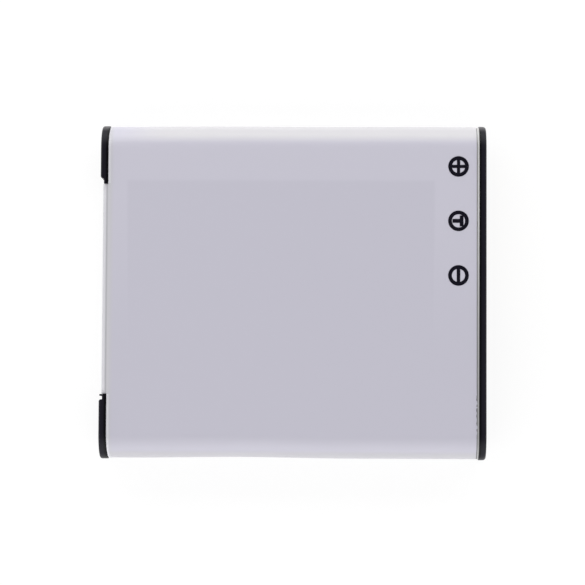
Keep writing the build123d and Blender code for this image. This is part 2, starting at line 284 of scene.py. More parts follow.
for tongue in TONGUES:
    pick("VERT", lambda vert: on_cut(vert) and between(vert.co.y, tongue))
    bpy.ops.transform.resize(value=(0, 1, 1), center_override=(TONGUE_X, 0, 0))
print("points of the cut to fray:", pick("VERT", in_ragged_cut))
bpy.ops.transform.vertex_random(offset=FRAY, uniform=1, normal=0, seed=FRAY_SEED)
bpy.ops.transform.resize(value=(1, 1, 0), center_override=(0, 0, label_high.z))
bpy.ops.object.mode_set(mode="OBJECT")

# %% [markdown]
# ### Waviness and thickness
# The can under the film isn't flat to a hundredth of a millimetre, and a satin print shows it.
# A Displace modifier with a cloudy texture gives that waviness, and Solidify gives the film its
# thickness. Both work inwards, so that neither makes the battery grow. The finished label takes the
# place of the plain CAD solid.

# %% Finish the label
FILM_THICKNESS = 0.1 * MM
WAVE_LENGTH = 6 * MM
WAVE_DEPTH = 0.012 * MM
SMOOTH_BELOW = radians(35)


def finish_with(piece, kind, **settings):
    """Add one modifier to a piece, set it and apply it."""
    modifier = piece.modifiers.new(kind.lower(), kind)
    for key, value in settings.items():
        setattr(modifier, key, value)
    bpy.ops.object.modifier_apply(modifier=modifier.name)


def take_on(piece, name, slot, *nodes):
    """Name a finished piece and let it ride on the battery, in place of the nodes it stands for."""
    bpy.ops.object.transform_apply(location=True, rotation=True, scale=True)
    piece.name = name
    piece.data.name = name
    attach(piece, "root")
    if nodes:
        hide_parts(*nodes)
    size = [round(side / MM, 2) for side in piece.dimensions]
    print(f"{name}: {len(piece.data.polygons)} faces, {size} mm")


waves = bpy.data.textures.new("film_waves", "CLOUDS")
waves.noise_scale = WAVE_LENGTH
inwards = {"strength": WAVE_DEPTH, "mid_level": 1.0}
finish_with(label, "DISPLACE", texture=waves, texture_coords="LOCAL", **inwards)
finish_with(label, "SOLIDIFY", thickness=FILM_THICKNESS, offset=-1, use_even_offset=True)
bpy.ops.object.shade_smooth_by_angle(angle=SMOOTH_BELOW)
take_on(label, "wrap_label_film", "label_film", "wrap_label")

# %% [markdown]
# ## The polarity marks
# Three small round marks beside the contacts say which is which: a plus, a T for the temperature lead,
# and a minus. They could be painted by the label's material, but a thin mesh keeps a crisp edge at any
# distance. All three share one ring, so it is modelled once: a disc is inset, its middle comes out, and
# the rest is extruded to the height of a coat of ink. It sinks a little into the film, so that no gap
# shows from the side.

# %% A ring of ink
MARK_X = 17.09 * MM
RING_RADIUS = 1.065 * MM
RING_SIDES = 72
STROKE = 0.38 * MM
INK_SUNK = 0.03 * MM
INK_HEIGHT = 0.04 * MM
ink_bottom = label_high.z - INK_SUNK


def raise_ink():
    """Give a flat shape in edit mode its height, as a closed skin with its faces outwards."""
    bpy.ops.mesh.select_all(action="SELECT")
    bpy.ops.mesh.extrude_region_move(TRANSFORM_OT_translate={"value": (0, 0, INK_HEIGHT)})
    bpy.ops.mesh.select_all(action="SELECT")
    bpy.ops.mesh.normals_make_consistent(inside=False)
    bpy.ops.object.mode_set(mode="OBJECT")


start_fresh()
bpy.ops.mesh.primitive_circle_add(
    vertices=RING_SIDES,
    radius=RING_RADIUS,
    fill_type="NGON",
    location=(MARK_X, 0, ink_bottom),
)
ring = bpy.context.object
bpy.ops.object.transform_apply(location=True, rotation=True, scale=True)
bpy.ops.object.mode_set(mode="EDIT")
bpy.ops.mesh.inset(thickness=STROKE)
bpy.ops.mesh.delete(type="FACE")
raise_ink()
print("ring of ink:", len(ring.data.polygons), "faces")

# %% [markdown]
# ### From ring to mark
# Each mark is a copy of the ring, with a mesh of its own, level with its contact. Its bars grow out of
# squares, and a Boolean joins ring and bars to one closed skin. Left as they are, they would overlap,
# and two coats of ink in the same place flicker in a render. A bar is given in millimetres from the
# middle of its mark: from one X to another, and its width in Y.

# %% Tools for a mark


def middle_of(node):
    """The middle of a CAD node's box."""
    low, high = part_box(node)
    return (low + high) / 2


def ring_copy(y):
    """A copy of the ring with its own mesh, moved to some Y."""
    start_fresh()
    ring.select_set(True)
    bpy.context.view_layer.objects.active = ring
    bpy.ops.object.duplicate(linked=False)
    bpy.ops.transform.translate(value=(0, y, 0))
    bpy.ops.object.transform_apply(location=True, rotation=True, scale=True)
    return bpy.context.object


def ink_bar(y, left, right, width):
    """A bar from one X to another, measured from the middle of its mark, grown out of a square."""
    start_fresh()
    square = right - left
    place = (MARK_X + (left + right) / 2, y, ink_bottom)
    bpy.ops.mesh.primitive_plane_add(size=square, location=place)
    bpy.ops.object.transform_apply(location=True, rotation=True, scale=True)
    bpy.ops.object.mode_set(mode="EDIT")
    bpy.ops.transform.resize(value=(1, width / square, 1), center_override=place)
    raise_ink()
    return bpy.context.object


def ink_mark(name, contact, bars):
    """A ring with its bars, joined to one skin, level with its contact."""
    y = middle_of(contact).y
    mark = ring_copy(y)
    for left, right, width in bars:
        bar = ink_bar(y, left * MM, right * MM, width * MM)
        start_fresh()
        bpy.context.view_layer.objects.active = mark
        mark.select_set(True)
        finish_with(mark, "BOOLEAN", object=bar, operation="UNION", solver="EXACT")
        bpy.data.objects.remove(bar)
    take_on(mark, name, "mark_ink")
    return mark


print("plus contact, Y in mm:", round(middle_of("plus_contact").y / MM, 2))

# %% [markdown]
# ### Three marks from a short table
# The plus and the minus reach into the ring on both sides, so their bars follow from the ring's size.
# The T stands free inside its ring, so its bar and stem are given by themselves.

# %% Plus, T and minus
PLUS_WIDTH = 0.33
MINUS_WIDTH = 0.36
T_BAR = (0.13, 0.515, 1.12)
T_STEM = (-0.62, 0.30, 0.40)
bar_reach = (RING_RADIUS - STROKE / 2) / MM
plus_long = (-bar_reach, bar_reach, PLUS_WIDTH)
plus_cross = (-PLUS_WIDTH / 2, PLUS_WIDTH / 2, 2 * bar_reach)
minus_bar = (-MINUS_WIDTH / 2, MINUS_WIDTH / 2, 2 * bar_reach)

marks = [
    ink_mark("plus_mark", "plus_contact", [plus_long, plus_cross]),
    ink_mark("sense_mark", "sense_contact", [T_BAR, T_STEM]),
    ink_mark("minus_mark", "minus_contact", [minus_bar]),
]
bpy.data.objects.remove(ring)

# %% [markdown]
# ## A way to write materials
# A shader is a small formula over the surface, and a tree of nodes hides that. So one class wraps a
# socket and overloads the arithmetic operators: `0.4 + 0.1 * grain` adds the Math nodes for it. The
# reflected forms, such as `__rsub__`, let a plain number stand on the left. Three more methods name
# what comes up again and again: the larger of two, a noise that swings about zero, and a mix.

# %% Sockets that can be added and multiplied


class Wire:
    """One output of a node. Sums and products of wires add Math nodes to their finish."""

    def __init__(self, finish, socket):
        self.finish = finish
        self.socket = socket

    def joined(self, operation, other, reflected=False):
        """A Math node on this wire and another value, which stands first if reflected."""
        first, second = (other, self) if reflected else (self, other)
        settings = {"operation": operation}
        return self.finish.node("ShaderNodeMath", settings, {0: first, 1: second}, 0)

    def __add__(self, other):
        return self.joined("ADD", other)

    def __radd__(self, other):
        return self.joined("ADD", other, reflected=True)

    def __sub__(self, other):
        return self.joined("SUBTRACT", other)

    def __rsub__(self, other):
        return self.joined("SUBTRACT", other, reflected=True)

    def __mul__(self, other):
        return self.joined("MULTIPLY", other)

    def __rmul__(self, other):
        return self.joined("MULTIPLY", other, reflected=True)

    def __abs__(self):
        return self.joined("ABSOLUTE", 0.0)

    def larger(self, other):
        """The larger of this and another value."""
        return self.joined("MAXIMUM", other)

    def swing(self, amount):
        """A noise from 0 to 1 made to swing about zero, by so much from end to end."""
        return amount * (self - 0.5)

    def mixed(self, other, share):
        """This wire with so large a share of another mixed in."""
        return (1 - share) * self + share * other


reflected_forms = [name for name in vars(Wire) if name.startswith("__r")]
print("reflected forms of a wire:", reflected_forms)

# %% [markdown]
# ### One method for every other node
# Noise, ramps, mixes and bumps all come from one method, which takes the node's type, its settings and
# what goes into its sockets. The short methods after it are just names for the few patterns that this
# battery needs. Every pattern reads Object coordinates, scaled to millimetres, so that it sits still on
# the piece and one unit of it can be compared with the real thing.

# %% Finishes under construction


class Finish:
    """A material, or the world, under construction."""

    def __init__(self, made):
        made.use_nodes = True
        self.made = made
        self.tree = made.node_tree
        self.output = next(node for node in self.tree.nodes if node.type.startswith("OUTPUT"))
        self.shader = self.output.inputs["Surface"].links[0].from_node

    def feed(self, socket, value):
        """Put a wire, a number or a colour into a socket."""
        if isinstance(value, Wire):
            self.tree.links.new(value.socket, socket)
        elif socket.type == "RGBA":
            socket.default_value = (*value, 1)
        else:
            socket.default_value = value

    def node(self, kind, settings, sockets, output):
        """Add a node: its settings first, then its sockets. Returns one output, or several."""
        made = self.tree.nodes.new(kind)
        for key, value in settings.items():
            setattr(made, key, value)
        for key, value in sockets.items():
            self.feed(made.inputs[key], value)
        if isinstance(output, list):
            return [Wire(self, made.outputs[key]) for key in output]
        return Wire(self, made.outputs[output])

    def place(self):
        """The place on the battery, in millimetres, as one vector."""
        where = self.node("ShaderNodeTexCoord", {}, {}, "Object")
        sockets = {0: where, "Scale": 1 / MM}
        return self.node("ShaderNodeVectorMath", {"operation": "SCALE"}, sockets, 0)

    def axes(self, place):
        """The X, Y and Z of a place, as three wires."""
        return self.node("ShaderNodeSeparateXYZ", {}, {0: place}, ["X", "Y", "Z"])

    def stretched(self, place, by):
        """A place with each axis multiplied: a pattern on it runs long along the small ones."""
        return self.node("ShaderNodeVectorMath", {"operation": "MULTIPLY"}, {0: place, 1: by}, 0)

    def noise(self, place, per_mm, detail=2.0, roughness=0.5):
        """Cloudy noise from 0 to 1, with so many clouds to the millimetre."""
        sockets = {"Vector": place, "Scale": per_mm, "Detail": detail, "Roughness": roughness}
        return self.node("ShaderNodeTexNoise", {}, sockets, "Fac")

    def ramp(self, value, low, high, from_value=0.0, to_value=1.0):
        """A value that goes smoothly from one number to another as the input goes from low to high."""
        sockets = {"Value": value, "From Min": low, "From Max": high}
        sockets.update({"To Min": from_value, "To Max": to_value})
        return self.node("ShaderNodeMapRange", {"interpolation_type": "SMOOTHSTEP"}, sockets, 0)

    def blend(self, share, first, second):
        """A mix of two colours. A Mix node keeps them in sockets 6 and 7, and their mix in output 2."""
        return self.node("ShaderNodeMix", {"data_type": "RGBA"}, {0: share, 6: first, 7: second}, 2)

    def relief(self, height, depth_mm, strength=0.5):
        """A bump from a height of 0 to 1, so many millimetres deep."""
        sockets = {"Height": height, "Distance": depth_mm * MM, "Strength": strength}
        return self.node("ShaderNodeBump", {}, sockets, 0)

    def surface(self, sockets):
        """Set the shader's own sockets and hand over the material."""
        for key, value in sockets.items():
            self.feed(self.shader.inputs[key], value)
        print("finish:", self.made.name, len(self.tree.nodes), "nodes")
        return self.made


def new_finish(name):
    """A fresh material to write a formula for."""
    return Finish(bpy.data.materials.new(name))


patterns = [name for name in vars(Finish) if not name.startswith("__")]
print("methods of a finish:", patterns)

# %% [markdown]
# ## The printed film
# The label is a lavender-grey print on film. A large field of it is printed a shade darker, with
# margins round it that fade out towards the near side. An image would do, but four smooth steps, two in
# X and two in Y, are sharp at any size, and the field's border stays where the battery's own frame says.

# %% The printed field
FILM = (0.567, 0.554, 0.634)
FILM_FIELD = (0.538, 0.526, 0.605)
FIELD_X = (-17.2, 14.65)
FIELD_Y = (-14.9, 11.45)
FIELD_SOFT = 0.25
FIELD_ABOVE_Z = (5.0, 5.6)
MARGIN_FADES_Y = (-8.0, 12.0)


def printed_field(finish, x, y, z):
    """1 in the field on the top, 0 in its margins, which fade out towards the near side."""
    field = finish.ramp(z, *FIELD_ABOVE_Z)
    for value, (low, high) in ((x, FIELD_X), (y, FIELD_Y)):
        field = field * finish.ramp(value, low - FIELD_SOFT, low + FIELD_SOFT)
        field = field * finish.ramp(value, high - FIELD_SOFT, high + FIELD_SOFT, 1, 0)
    return field.larger(finish.ramp(y, *MARGIN_FADES_Y, 1, 0))


field_size = [round(high - low, 2) for low, high in (FIELD_X, FIELD_Y)]
print("printed field, mm:", field_size)

# %% [markdown]
# ### Painted sheen and shade on the film
# The far long side is painted paler and more neutral, a painted highlight where it would mirror the
# far panel, except near the plain end. The fold at the plain end is painted greyer, a painted shade,
# and the near edge is painted greyer and a little darker. Painting each by hand would be quick too,
# but one smooth step in Y or X for each stays in its place when the label is modelled again.

# %% Painted sheen and shade along the sides
# Painted highlight: the far rounded side is painted paler and more neutral.
FAR_SHEEN = (0.600, 0.590, 0.614)
FAR_SHEEN_FROM_Y = (15.3, 16.3)
FAR_SHEEN_FROM_X = (-19.0, -13.0)
GREYED = (0.520, 0.511, 0.548)
GREYED_TO_Y = (-16.9, -16.4)
# Painted shade: the fold at the plain end is painted greyer and darker.
FOLD_SHADE = (0.545, 0.540, 0.572)
FOLD_SHADE_TO_X = (-19.1, -18.5)


def side_sheen_and_shade(finish, colour, x, y):
    """The print's colour, a painted highlight on the far side, painted shade on the fold, greyer near
    edge.
    """
    sheen = finish.ramp(y, *FAR_SHEEN_FROM_Y) * finish.ramp(x, *FAR_SHEEN_FROM_X)
    colour = finish.blend(sheen, colour, FAR_SHEEN)
    colour = finish.blend(finish.ramp(y, *GREYED_TO_Y, 1, 0), colour, GREYED)
    return finish.blend(finish.ramp(x, *FOLD_SHADE_TO_X, 1, 0), colour, FOLD_SHADE)


# Prints where the painted highlight on the far side begins.
print("far side rubbed from Y in mm:", FAR_SHEEN_FROM_Y[0])

# %% [markdown]
# ### Cut edges and the crease
# Beside the feet the film is cut off, and its edge shows the white of the film under the print, made
# brighter as a painted highlight where the edge catches the light. The fold gets a faint painted
# highlight and painted shade in its crease. So the white depends on where Y lies, inside or outside
# the flap, and both follow the values that the flap was modelled from.

# %% Edge white, painted highlight and painted shade at the plain end
# The white of the film under the print, with a painted highlight on it where the edge catches light.
EDGE_WHITE_AND_HIGHLIGHT = (0.800, 0.795, 0.840)
CUT_EDGE_X = (-19.15, -18.85)
CUT_EDGE_SOFT = 0.15
HIGHLIGHT_ON_FOLD = 0.08
CUT_EDGE_BESIDE_FLAP = 0.87
CUT_EDGE_FADES_Y = (15.2, 16.6)
CUT_EDGE_FADED = 0.2
# Painted shade in the crease of the flap's fold.
CREASE_SHADE = (0.330, 0.322, 0.345)
CREASE_SHADE_SHARE = 0.65
CREASE_X = -19.31
CREASE_HALF = 0.15
CREASE_ABOVE_Z = (4.0, 5.0)


def end_edge_light_and_shade(finish, colour, x, y, z):
    """White cut edges with a painted highlight, a faint one on the fold, and painted shade in the crease.
    """
    low, high = FLAP_EDGES[0] / MM, FLAP_EDGES[1] / MM
    beside = finish.ramp(y, high, high + CUT_EDGE_SOFT)
    beside = beside + finish.ramp(y, low - CUT_EDGE_SOFT, low, 1, 0)
    edge = HIGHLIGHT_ON_FOLD + CUT_EDGE_BESIDE_FLAP * beside
    edge = finish.ramp(x, *CUT_EDGE_X, 1, 0) * edge
    edge = edge * finish.ramp(y, *CUT_EDGE_FADES_Y, 1, CUT_EDGE_FADED)
    colour = finish.blend(edge, colour, EDGE_WHITE_AND_HIGHLIGHT)
    crease = finish.ramp(abs(x - CREASE_X), 0, CREASE_HALF, 1, 0)
    crease = crease * finish.ramp(z, *CREASE_ABOVE_Z)
    return finish.blend(CREASE_SHADE_SHARE * crease, colour, CREASE_SHADE)


print("crease, mm from the plain end:", round(CREASE_X - cad_low.x / MM, 2))

# %% [markdown]
# ### The film's surface
# Close up, the print has a fine grain and the clear layer over it a faint orange peel, and handling
# leaves long, faint scuffs that only change how sharply the film mirrors. So the grain goes into the
# colour and the bump, the scuffs into the roughness, and all of them stay weak: this is a clean, satin
# label.

# %% Film finish
CLOUDS_PER_MM = 0.35
FILM_GRAIN_PER_MM = 16.0
PEEL_PER_MM = 3.2
SCUFFS_PER_MM = 1.6
SCUFFS_LONG = (0.3, 2.2, 2.2)
PRINT_CLOUDY = 0.25
PRINT_GRAINY = 0.2
FILM_ROUGH = 0.36
SCUFFS_ROUGH = 0.10
CLOUDS_ROUGH = 0.05
FILM_IOR = 1.5
PEEL_DEPTH = 0.006


def film_finish():
    """Satin printed film: field and wear in the colour, scuffs in the gloss, grain and peel."""
    finish = new_finish("printed_film")
    place = finish.place()
    x, y, z = finish.axes(place)
    cloud = finish.noise(place, CLOUDS_PER_MM, detail=3.0)
    grain = finish.noise(place, FILM_GRAIN_PER_MM, detail=1.0)
    peel = finish.noise(place, PEEL_PER_MM, detail=1.0)
    long_place = finish.stretched(place, SCUFFS_LONG)
    scuffs = finish.noise(long_place, SCUFFS_PER_MM, detail=4.0, roughness=0.6)
    share = printed_field(finish, x, y, z) + cloud.swing(PRINT_CLOUDY) + grain.swing(PRINT_GRAINY)
    colour = side_sheen_and_shade(finish, finish.blend(share, FILM, FILM_FIELD), x, y)
    return finish.surface({
        "Base Color": end_edge_light_and_shade(finish, colour, x, y, z),
        "Roughness": FILM_ROUGH + scuffs.swing(SCUFFS_ROUGH) + cloud.swing(CLOUDS_ROUGH),
        "IOR": FILM_IOR,
        "Normal": finish.relief(peel.mixed(grain, share=0.3), PEEL_DEPTH),
    })


film = film_finish()
label.data.materials.append(film)

# %% [markdown]
# ## The ink
# The marks are screen-printed in a near-black ink, which dries matt and a little uneven. A pure black
# would look like a hole in the label, so the ink keeps a trace of blue and its grain, and mirrors less
# than the film round it.

# %% Ink finish
INK = (0.0028, 0.0022, 0.0070)
INK_THIN = (0.0056, 0.0046, 0.0115)
INK_GRAIN_PER_MM = 14.0
INK_THIN_FROM_TO = (0.3, 0.7)
INK_ROUGH = 0.40
INK_GRAIN_ROUGH = 0.2
INK_MIRRORS = 0.12


def ink_finish():
    """Matt ink that lies thinner in the grain of the screen."""
    finish = new_finish("printed_ink")
    grain = finish.noise(finish.place(), INK_GRAIN_PER_MM)
    return finish.surface({
        "Base Color": finish.blend(finish.ramp(grain, *INK_THIN_FROM_TO), INK, INK_THIN),
        "Roughness": INK_ROUGH + INK_GRAIN_ROUGH * grain,
        "Specular IOR Level": INK_MIRRORS,
    })


ink = ink_finish()
for mark in marks:
    mark.data.materials.append(ink)

# %% [markdown]
# ## Moulded plastics
# The caps, the board's frame, the gasket and the chips are all injection-moulded. Such a surface
# carries the fine grain of its tool, faint flow marks where the plastic ran, and scratches from
# handling. One function writes that for every plastic, and takes the painted light and shade of a
# single piece as a function of its own.

# %% Moulded finish
TOOL_GRAIN_PER_MM = 9.0
FLOW_PER_MM = 0.8
FLOW_LONG = (1.0, 0.25, 1.0)
SCRATCHES_PER_MM = 2.5
SCRATCHES_LONG = (4.0, 0.5, 4.0)
SCRATCHED_FROM_TO = (0.62, 0.74)
FLOW_ROUGH = 0.12
TOOL_GRAIN_ROUGH = 0.10
SCRATCHES_ROUGH = 0.08
SCRATCHES_DEEP = 0.15
TOOL_GRAIN_STRENGTH = 0.6


def moulded_finish(name, dark, light, rough, grain_depth, mirrors=0.5, painted_light=None):
    """Moulded plastic between two colours, with tool grain, flow marks and fine scratches."""
    finish = new_finish(name)
    place = finish.place()
    grain = finish.noise(place, TOOL_GRAIN_PER_MM)
    flow = finish.noise(finish.stretched(place, FLOW_LONG), FLOW_PER_MM, detail=3.0)
    long_place = finish.stretched(place, SCRATCHES_LONG)
    scratch = finish.noise(long_place, SCRATCHES_PER_MM, detail=4.0, roughness=0.7)
    scratched = finish.ramp(scratch, *SCRATCHED_FROM_TO)
    colour = finish.blend(flow.mixed(scratched, share=0.5), dark, light)
    # Painted light and shade that belong to one piece only.
    if painted_light:
        x, y, _ = finish.axes(place)
        colour = painted_light(finish, colour, x, y, grain)
    roughness = rough + flow.swing(FLOW_ROUGH) + grain.swing(TOOL_GRAIN_ROUGH)
    height = grain - SCRATCHES_DEEP * scratched
    return finish.surface({
        "Base Color": colour,
        "Roughness": roughness + SCRATCHES_ROUGH * scratched,
        "Specular IOR Level": mirrors,
        "Normal": finish.relief(height, grain_depth, TOOL_GRAIN_STRENGTH),
    })


gasket_blue = moulded_finish(
    "gasket_moulding",
    dark=(0.03, 0.07, 0.22),
    light=(0.06, 0.13, 0.36),
    rough=0.35,
    grain_depth=0.003,
)
chip_black = moulded_finish(
    "chip_moulding",
    dark=(0.012, 0.012, 0.013),
    light=(0.030, 0.030, 0.031),
    rough=0.55,
    grain_depth=0.008,
)
cutoff_red = moulded_finish(
    "cutoff_moulding",
    dark=(0.13, 0.035, 0.02),
    light=(0.22, 0.07, 0.04),
    rough=0.5,
    grain_depth=0.006,
)

# %% [markdown]
# ### Black caps
# The black caps are painted near black beside the film, a painted shade, and paler grey on the far
# side's rounded ends, a painted highlight where they would mirror the far panel. Both go by place, so
# it is a short function that blends two more colours in. The painted highlight is broken up by the
# tool's grain.

# %% Cap finish
# Painted shade beside the film, and a painted highlight on the far side's rounded ends.
CAP_PAINTED_SHADE = (0.0006, 0.0004, 0.0016)
CAP_SHADE_ENDS_X = (19.36, 19.56)
CAP_PAINTED_SHEEN = (0.110, 0.108, 0.115)
CAP_SHEEN_FROM_Y = (16.55, 17.35)
SHEEN_EVENLY = 0.6
SHEEN_BY_GRAIN = 0.8


def cap_painted_light(finish, colour, x, y, grain):
    """Painted shade beside the film, and a painted highlight on the far side, broken up by the grain."""
    colour = finish.blend(finish.ramp(abs(x), *CAP_SHADE_ENDS_X), CAP_PAINTED_SHADE, colour)
    sheen_share = SHEEN_EVENLY + SHEEN_BY_GRAIN * grain
    return finish.blend(finish.ramp(y, *CAP_SHEEN_FROM_Y) * sheen_share, colour, CAP_PAINTED_SHEEN)


cap_black = moulded_finish(
    "black_moulding",
    dark=(0.0070, 0.0063, 0.0112),
    light=(0.0130, 0.0118, 0.0190),
    rough=0.40,
    grain_depth=0.006,
    mirrors=0.16,
    painted_light=cap_painted_light,
)

# %% [markdown]
# ### The pale frame
# The board's frame shows as a thin bright line between the film and the contact cap. The groove
# beside the film is painted darker, a painted shade; towards the near side the line itself is darker,
# and its corner with the cap is painted near black, a painted shade. So thin a line could be painted
# on the cap, but the frame is a piece of the CAD. It only needs the same plastic in a pale colour, a
# dark grey for groove and line, and a near-black painted shade for the corner.

# %% Frame finish
# Painted shade in the groove and in the corner with the cap; the line is darker towards the near side.
DARK_GREY = (0.20, 0.20, 0.21)
DARKER_NEAR = 0.45
DARKER_FADES_Y = (-14.0, 12.0)
GROOVE_X = (19.04, 19.08)
GROOVE_SHADE_EVENLY = 0.75
GROOVE_SHADE_BY_GRAIN = 0.25
CORNER_SHADE = (0.03, 0.03, 0.032)
CORNER_SHADE_NEAR = 0.9
CORNER_X = (19.17, 19.25)


def frame_painted_shade(finish, colour, x, y, grain):
    """Painted shade in the groove and in the corner with the cap, and darker towards the near side."""
    in_groove = finish.ramp(x, *GROOVE_X, 1, 0) * (GROOVE_SHADE_EVENLY + GROOVE_SHADE_BY_GRAIN * grain)
    darkened = in_groove + finish.ramp(y, *DARKER_FADES_Y, DARKER_NEAR, 0)
    colour = finish.blend(darkened, colour, DARK_GREY)
    in_corner = finish.ramp(x, *CORNER_X) * finish.ramp(y, *DARKER_FADES_Y, CORNER_SHADE_NEAR, 0)
    return finish.blend(in_corner, colour, CORNER_SHADE)


frame_pale = moulded_finish(
    "pale_moulding",
    dark=(0.62, 0.62, 0.61),
    light=(0.80, 0.80, 0.79),
    rough=0.45,
    grain_depth=0.004,
    painted_light=frame_painted_shade,
)

# %% [markdown]
# ## Rolled metals
# The can is deep-drawn aluminium and the straps are cut from rolled nickel. Both show streaks along the
# way that the metal moved. Noise that is squeezed along two axes and long along the third makes such
# streaks, and it goes into colour, roughness and bump together, because on real metal they are the same
# scratches.

# %% Aluminium and nickel
STREAKS_PER_MM = 6.0
TARNISH_PER_MM = 0.6
STREAKS_ROUGH = 0.16
TARNISH_ROUGH = 0.08
STREAK_DEPTH = 0.003


def streaks(finish, place, long):
    """Fine lines that run along the axis that is multiplied least."""
    return finish.noise(finish.stretched(place, long), STREAKS_PER_MM, detail=3.0, roughness=0.6)


def rolled_finish(name, dark, light, rough, long):
    """Rolled metal between two colours, with streaks along the way that it was rolled."""
    finish = new_finish(name)
    place = finish.place()
    lines = streaks(finish, place, long)
    tarnish = finish.noise(place, TARNISH_PER_MM)
    return finish.surface({
        "Base Color": finish.blend(lines.mixed(tarnish, share=0.4), dark, light),
        "Metallic": 1.0,
        "Roughness": rough + lines.swing(STREAKS_ROUGH) + tarnish.swing(TARNISH_ROUGH),
        "Normal": finish.relief(lines, STREAK_DEPTH),
    })


aluminium = rolled_finish(
    "drawn_aluminium",
    dark=(0.62, 0.63, 0.65),
    light=(0.82, 0.83, 0.85),
    rough=0.34,
    long=(0.06, 1.0, 1.0),
)
nickel = rolled_finish(
    "nickel_strip",
    dark=(0.50, 0.47, 0.43),
    light=(0.70, 0.66, 0.60),
    rough=0.28,
    long=(1.0, 0.08, 1.0),
)

# %% [markdown]
# ## Plated contacts
# The contacts are gold-plated, and a spring pin slides over the middle of each and wipes the plating
# thin. The pattern is needed three times, one pitch apart. Wrapping Y by the pitch makes one wiped spot
# serve all three contacts, and the pitch is measured on the CAD pieces themselves.

# %% Contact finish
GOLD = (0.62, 0.38, 0.11)
GOLD_BRIGHT = (0.95, 0.70, 0.30)
GOLD_WIPED = (0.86, 0.78, 0.62)
PLATING_LINES_LONG = (1.0, 1.0, 0.08)
STAINS_PER_MM = 1.4
WIPED_NARROW = 4.0
WIPED_FROM_TO = (0.15, 0.9)
WIPED_LINES = (0.35, 0.65)
WIPED_SHARE = 0.6
WIPED_DEEP = 0.5
WIPED_ROUGH = 0.15
PLATING_ROUGH = 0.20
STAINS_ROUGH = 0.20
PLATING_LINES_ROUGH = 0.12
PLATING_DEPTH = 0.004


def wiped_spot(finish, y, z):
    """An upright oval in the middle of every contact: small inside it, large outside."""
    first = middle_of("minus_contact") / MM
    last = middle_of("plus_contact") / MM
    pitch = (last.y - first.y) / 2
    sockets = {0: y - first.y, 1: pitch / 2, 2: -pitch / 2}
    across = finish.node("ShaderNodeMath", {"operation": "WRAP"}, sockets, 0)
    up = z - first.z
    return WIPED_NARROW * across * across + up * up


def contact_finish():
    """Gold plating with faint stains, wiped pale in the middle of each contact."""
    finish = new_finish("gold_plating")
    place = finish.place()
    _, y, z = finish.axes(place)
    lines = streaks(finish, place, PLATING_LINES_LONG)
    stain = finish.noise(place, STAINS_PER_MM, detail=3.0)
    wiped = finish.ramp(wiped_spot(finish, y, z), *WIPED_FROM_TO, 1, 0)
    wiped = wiped * finish.ramp(lines, *WIPED_LINES)
    colour = finish.blend(lines.mixed(stain, share=0.5), GOLD, GOLD_BRIGHT)
    roughness = PLATING_ROUGH + STAINS_ROUGH * stain + lines.swing(PLATING_LINES_ROUGH)
    return finish.surface({
        "Base Color": finish.blend(WIPED_SHARE * wiped, colour, GOLD_WIPED),
        "Metallic": 1.0,
        "Roughness": roughness + WIPED_ROUGH * wiped,
        "Normal": finish.relief(lines - WIPED_DEEP * wiped, PLATING_DEPTH),
    })


gold = contact_finish()

# %% [markdown]
# ## The board
# The protection board is glass laminate under green solder mask, and copper tracks run along it under
# the mask. Only its rim shows, deep in the contact windows. A wave texture gives the tracks as paler
# bands that stand up a little, and fine, stretched noise gives the weave of the glass.

# %% Board finish
MASK = (0.006, 0.060, 0.022)
MASK_ON_COPPER = (0.014, 0.115, 0.040)
MASK_ON_GLASS = (0.02, 0.15, 0.06)
TRACKS_PER_MM = 0.32
TRACK_FROM_TO = (0.6, 0.7)
WEAVE_PER_MM = 4.0
WEAVE_LONG = (1.0, 6.0, 1.0)
WEAVE_SHARE = 0.25
WEAVE_HIGH = 0.2
MASK_ROUGH = 0.3
WEAVE_ROUGH = 0.15
TRACK_DEPTH = 0.01


def board_finish():
    """Green solder mask over straight copper tracks, with a fine glass weave."""
    finish = new_finish("green_laminate")
    place = finish.place()
    sockets = {"Vector": place, "Scale": TRACKS_PER_MM}
    track = finish.node("ShaderNodeTexWave", {"bands_direction": "Z"}, sockets, "Fac")
    weave = finish.noise(finish.stretched(place, WEAVE_LONG), WEAVE_PER_MM, detail=1.0)
    colour = finish.blend(finish.ramp(track, *TRACK_FROM_TO), MASK, MASK_ON_COPPER)
    return finish.surface({
        "Base Color": finish.blend(WEAVE_SHARE * weave, colour, MASK_ON_GLASS),
        "Roughness": MASK_ROUGH + WEAVE_ROUGH * weave,
        "Normal": finish.relief(track + WEAVE_HIGH * weave, TRACK_DEPTH),
    })


board_green = board_finish()

# %% [markdown]
# ## Card and tape
# The insulator on the lid is pressed card, and the base cap is held by tissue tape. Both are mats of
# short fibres. Two noises, long in different directions and added, look like crossing fibres, and cost
# less than drawing them.

# %% Fibre finishes
FIBRES_PER_MM = 5.0
FIBRES_ACROSS = (1.0, 0.3, 2.0)
FIBRES_UP = (1.0, 2.0, 0.3)
MAT_ROUGH = 0.75
FIBRES_ROUGH = 0.1
FIBRE_DEPTH = 0.006


def fibre_finish(name, dark, light):
    """Card or tissue: short fibres in two directions."""
    finish = new_finish(name)
    place = finish.place()
    across = finish.noise(finish.stretched(place, FIBRES_ACROSS), FIBRES_PER_MM, detail=3.0)
    up = finish.noise(finish.stretched(place, FIBRES_UP), FIBRES_PER_MM, detail=3.0)
    return finish.surface({
        "Base Color": finish.blend(across.mixed(up, share=0.5), dark, light),
        "Roughness": MAT_ROUGH + FIBRES_ROUGH * across,
        "Normal": finish.relief(across + up, FIBRE_DEPTH),
    })


card = fibre_finish("grey_card", dark=(0.30, 0.27, 0.20), light=(0.42, 0.38, 0.29))
tape = fibre_finish("tissue_tape", dark=(0.62, 0.61, 0.58), light=(0.74, 0.73, 0.70))

